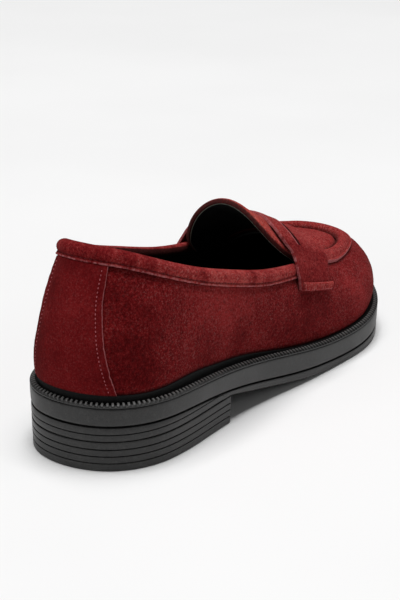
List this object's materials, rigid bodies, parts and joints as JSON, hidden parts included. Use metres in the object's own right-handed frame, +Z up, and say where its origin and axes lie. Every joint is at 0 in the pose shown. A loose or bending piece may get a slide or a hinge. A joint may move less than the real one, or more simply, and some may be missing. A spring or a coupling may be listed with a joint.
{
  "type": "penny loafer",
  "caption": "Low slip-on suede shoe with an apron toe, a slotted saddle strap, a free tongue and a ribbed rubber sole with a low block heel.",
  "frame": {"origin": "middle of the heel's flat base, on the floor", "axes": "+X towards the toe, +Y towards the wearer's left (the arch side of this right shoe), +Z up"},
  "size_m": [0.275, 0.0948, 0.0983],
  "materials": {
    "suede": "oxblood suede, soft short nap",
    "rubber": "satin black-grey rubber",
    "lining_leather": "smooth near-black lining",
    "lining_cloth": "dark woven lining",
    "stiffener": "matt impregnated stiffener",
    "board": "matt fibre board",
    "foam": "matt foam",
    "filler": "matt cork paste",
    "steel": "plain steel"
  },
  "bodies": {
    "shoe": {"outsole": "rubber", "midsole": "rubber", "welt": "rubber", "heel_block": "rubber", "heel_top_piece": "rubber", "heel_nail_1": "steel", "heel_nail_2": "steel", "heel_nail_3": "steel", "heel_nail_4": "steel", "heel_nail_5": "steel", "insole_board": "board", "footbed_foam": "foam", "sock_liner": "lining_leather", "bottom_filler": "filler", "shank": "steel", "vamp": "suede", "heel_panel": "suede", "topline_binding": "suede", "apron": "suede", "apron_band": "suede", "saddle_strap": "suede", "strap_tab_outer": "suede", "strap_tab_inner": "suede", "quarter_lining": "lining_leather", "vamp_lining": "lining_cloth", "heel_counter": "stiffener", "toe_puff": "stiffener"},
    "tongue_flap": {"tongue": "suede", "tongue_lining": "lining_leather"}
  },
  "joints": [
    {"name": "tongue_lift", "type": "hinge", "parent": "shoe", "child": "tongue_flap", "pos_m": [0.114, 0, 0.072], "axis": [0, 1, 0], "range_deg": [0, 16], "stiffness_Nm_per_rad": 0.3}
  ]
}
